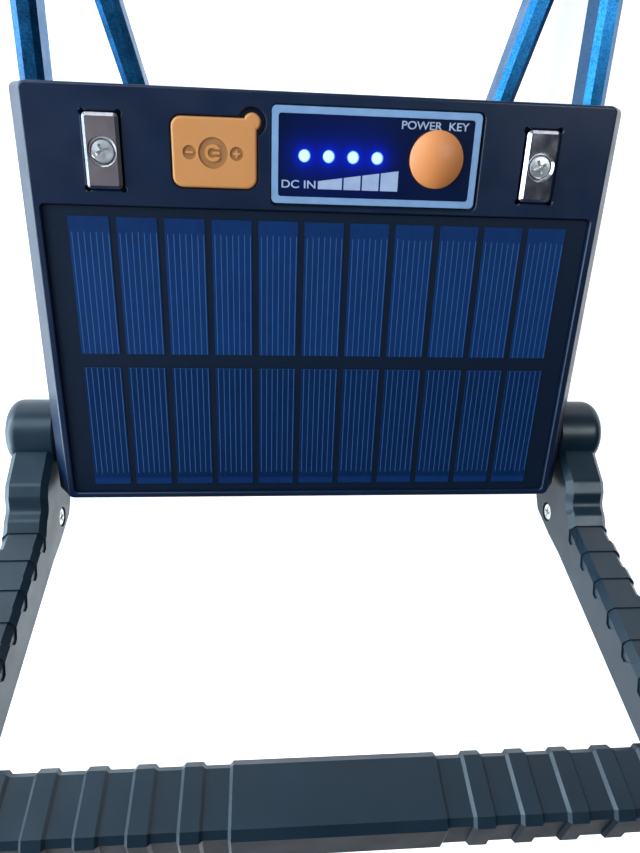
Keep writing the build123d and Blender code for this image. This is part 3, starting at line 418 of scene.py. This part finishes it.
def control_field():
    """Printed field inside the plate's border, open round the button and the indicators."""
    border, clearance, corner = 1.9 * MM, 0.1 * MM, 0.8 * MM
    sink, thickness = 0.02 * MM, 0.08 * MM
    button_hole, led_hole, cutter_depth = 8.3 * MM, 1.82 * MM, 4 * MM
    width = plate_high.x - plate_low.x - 2 * border - clearance
    length = plate_high.y - plate_low.y - 2 * border - clearance
    bm = bmesh.new()
    add_prism(bm, rounded_outline(plate_mid, width, length, corner), print_z - sink, thickness)
    made = piece_from(bm, "control_field", print_with_painted_glow(led_places, 1.35 * MM))
    holes = [(button_mid, button_hole)] + [(place, led_hole) for place in led_places]
    cutters = bmesh.new()
    for place, radius in holes:
        at_place = Matrix.Translation((place.x, place.y, print_z))
        bmesh.ops.create_cone(cutters, cap_ends=True, segments=64, radius1=radius, radius2=radius,
                              depth=cutter_depth, matrix=at_place)
    cutter_mesh = bpy.data.meshes.new("field_cutter")
    cutters.to_mesh(cutter_mesh)
    cutters.free()
    cutter = bpy.data.objects.new("field_cutter", cutter_mesh)
    bpy.context.scene.collection.objects.link(cutter)
    cut = made.modifiers.new("holes", "BOOLEAN")
    cut.object = cutter
    cut.solver = "EXACT"
    bpy.context.view_layer.update()
    graph = bpy.context.evaluated_depsgraph_get()
    finished = bpy.data.meshes.new_from_object(made.evaluated_get(graph))
    made.modifiers.clear()
    made.data = finished
    bpy.data.objects.remove(cutter)
    return made


control_field()


def level_wedge():
    """Rising bar of four segments that stands for the charge level."""
    left, right = -2.5 * MM, 21.3 * MM
    base = body_mid.y + 38.8 * MM
    low_height, high_height = 2.2 * MM, 5.7 * MM
    breaks = (0.0, 0.31, 0.54, 0.77, 1.0)
    gap = 0.5 * MM
    bm = bmesh.new()
    for a, b in zip(breaks, breaks[1:]):
        xa = left + (right - left) * a + (gap / 2 if a > 0 else 0.0)
        xb = left + (right - left) * b - (gap / 2 if b < 1 else 0.0)
        rise_a = low_height + (high_height - low_height) * (xa - left) / (right - left)
        rise_b = low_height + (high_height - low_height) * (xb - left) / (right - left)
        outline = [(xa, base), (xb, base), (xb, base + rise_b), (xa, base + rise_a)]
        add_prism(bm, outline, print_z + 0.05 * MM, 0.03 * MM)
    return piece_from(bm, "level_wedge", white_print)


level_wedge()


def label(name, words, left, base, width, height):
    """Flat printed words that fill a given width and cap height."""
    text = bpy.data.curves.new(name, "FONT")
    text.body = words
    text.size = 1.0
    text.extrude = 0.004
    text.offset = 0.012
    holder = bpy.data.objects.new(name + "_outline", text)
    bpy.context.scene.collection.objects.link(holder)
    bpy.context.view_layer.update()
    mesh = bpy.data.meshes.new_from_object(holder)
    bpy.data.objects.remove(holder)
    xs = [v.co.x for v in mesh.vertices]
    ys = [v.co.y for v in mesh.vertices]
    scale_x = width / (max(xs) - min(xs))
    scale_y = height / (max(ys) - min(ys))
    for v in mesh.vertices:
        v.co = Vector((left + (v.co.x - min(xs)) * scale_x, base + (v.co.y - min(ys)) * scale_y,
                       print_z + 0.06 * MM + v.co.z * 3 * MM))
    made = bpy.data.objects.new(name, mesh)
    bpy.context.scene.collection.objects.link(made)
    made.data.materials.clear()
    made.data.materials.append(white_print)
    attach(made, "lamp")
    return made


label("power_label", "POWER  KEY", 21.3 * MM, body_mid.y + 55.9 * MM, 19.9 * MM, 2.2 * MM)
label("input_label", "DC IN", -13.2 * MM, body_mid.y + 38.9 * MM, 10.0 * MM, 2.2 * MM)


# ---------------------------------------------------------------- stage, light and camera
def stage_floor():
    """Flat pale floor, a hair under the lamp."""
    bm = bmesh.new()
    half, level = 3.0, -0.2 * MM
    plan = ((-half, -half), (half, -half), (half, half), (-half, half))
    bm.faces.new([bm.verts.new((x, y, level)) for x, y in plan])
    mesh = bpy.data.meshes.new("floor")
    bm.to_mesh(mesh)
    bm.free()
    made = bpy.data.objects.new("floor", mesh)
    bpy.context.scene.collection.objects.link(made)
    pale = Surface("pale_floor", (0.92, 0.92, 0.92), 0.8, Emission_Strength=0.80)
    pale.mottle(3, 1.01, 0.99)
    made.data.materials.append(pale.material)


stage_floor()


def area_light(name, place, target, size, power, colour):
    """Soft rectangular light at a place, aimed at a target."""
    data = bpy.data.lights.new(name, "AREA")
    data.shape = "RECTANGLE"
    data.size, data.size_y = size
    data.energy = power
    data.color = colour
    made = bpy.data.objects.new(name, data)
    made.location = place
    made.rotation_mode = "QUATERNION"
    made.rotation_quaternion = (Vector(target) - Vector(place)).to_track_quat("-Z", "Y")
    bpy.context.scene.collection.objects.link(made)


centre = (0.0, body_mid.y, 0.03)
daylight = (0.64, 0.84, 1.0)
area_light("window_left", (-0.78, 0.04, 0.36), centre, (1.2, 0.6), 14.8, daylight)
area_light("window_back", (-0.42, 0.66, 0.58), centre, (0.60, 0.45), 4.6, daylight)
area_light("lamp_above", (0.74, 0.56, 1.20), (0.087, 0.085, 0.016), (0.34, 0.5), 8.0, (0.80, 0.93, 1.0))
area_light("low_card", (-0.36, -0.05, 0.03), (0.0, -0.10, 0.13), (0.5, 0.12), 2.2, (0.62, 0.84, 1.0))


class Sky(Surface):
    """The room round the lamp, built with the same node helpers."""

    def __init__(self, world):
        world.use_nodes = True
        self.tree = world.node_tree
        self.shader = self.tree.nodes["Background"]
        self.place = self.node("ShaderNodeTexCoord").outputs["Generated"]


world = bpy.data.worlds.new("studio")
room = Sky(world)
to_right, to_back, upward = room.axes()
back = room.span(to_back, -0.5, 0.6)
low_glow = room.mix(back, (0.08, 0.066, 0.050), (0.20, 0.30, 0.38))
ceiling = room.mix(room.span(to_right, -0.5, 0.4), (0.30, 0.29, 0.32), (0.045, 0.055, 0.080))
room.feed(room.shader.inputs[0], room.mix(room.span(upward, 0.10, 0.65), low_glow, ceiling))
room.feed(room.shader.inputs[1], room.span(to_right, -0.8, 0.8, 1.30, 0.40))
bpy.context.scene.world = world
bpy.context.scene.view_settings.view_transform = "Standard"

camera_data = bpy.data.cameras.new("camera")
camera_data.lens = 27.8
camera_data.clip_start = 0.01
camera = bpy.data.objects.new("camera", camera_data)
bpy.context.scene.collection.objects.link(camera)
eye = Vector((-18.7 * MM, body_mid.y + 48.6 * MM, 242.3 * MM))
sight = Vector((0.087, -0.383, -0.920)).normalized()
right = sight.cross(Vector((-0.001, 0.923, -0.385))).normalized()
upright = right.cross(sight)
turn = Matrix((right, upright, -sight)).transposed()
camera.matrix_world = Matrix.Translation(eye) @ turn.to_4x4()
bpy.context.scene.camera = camera
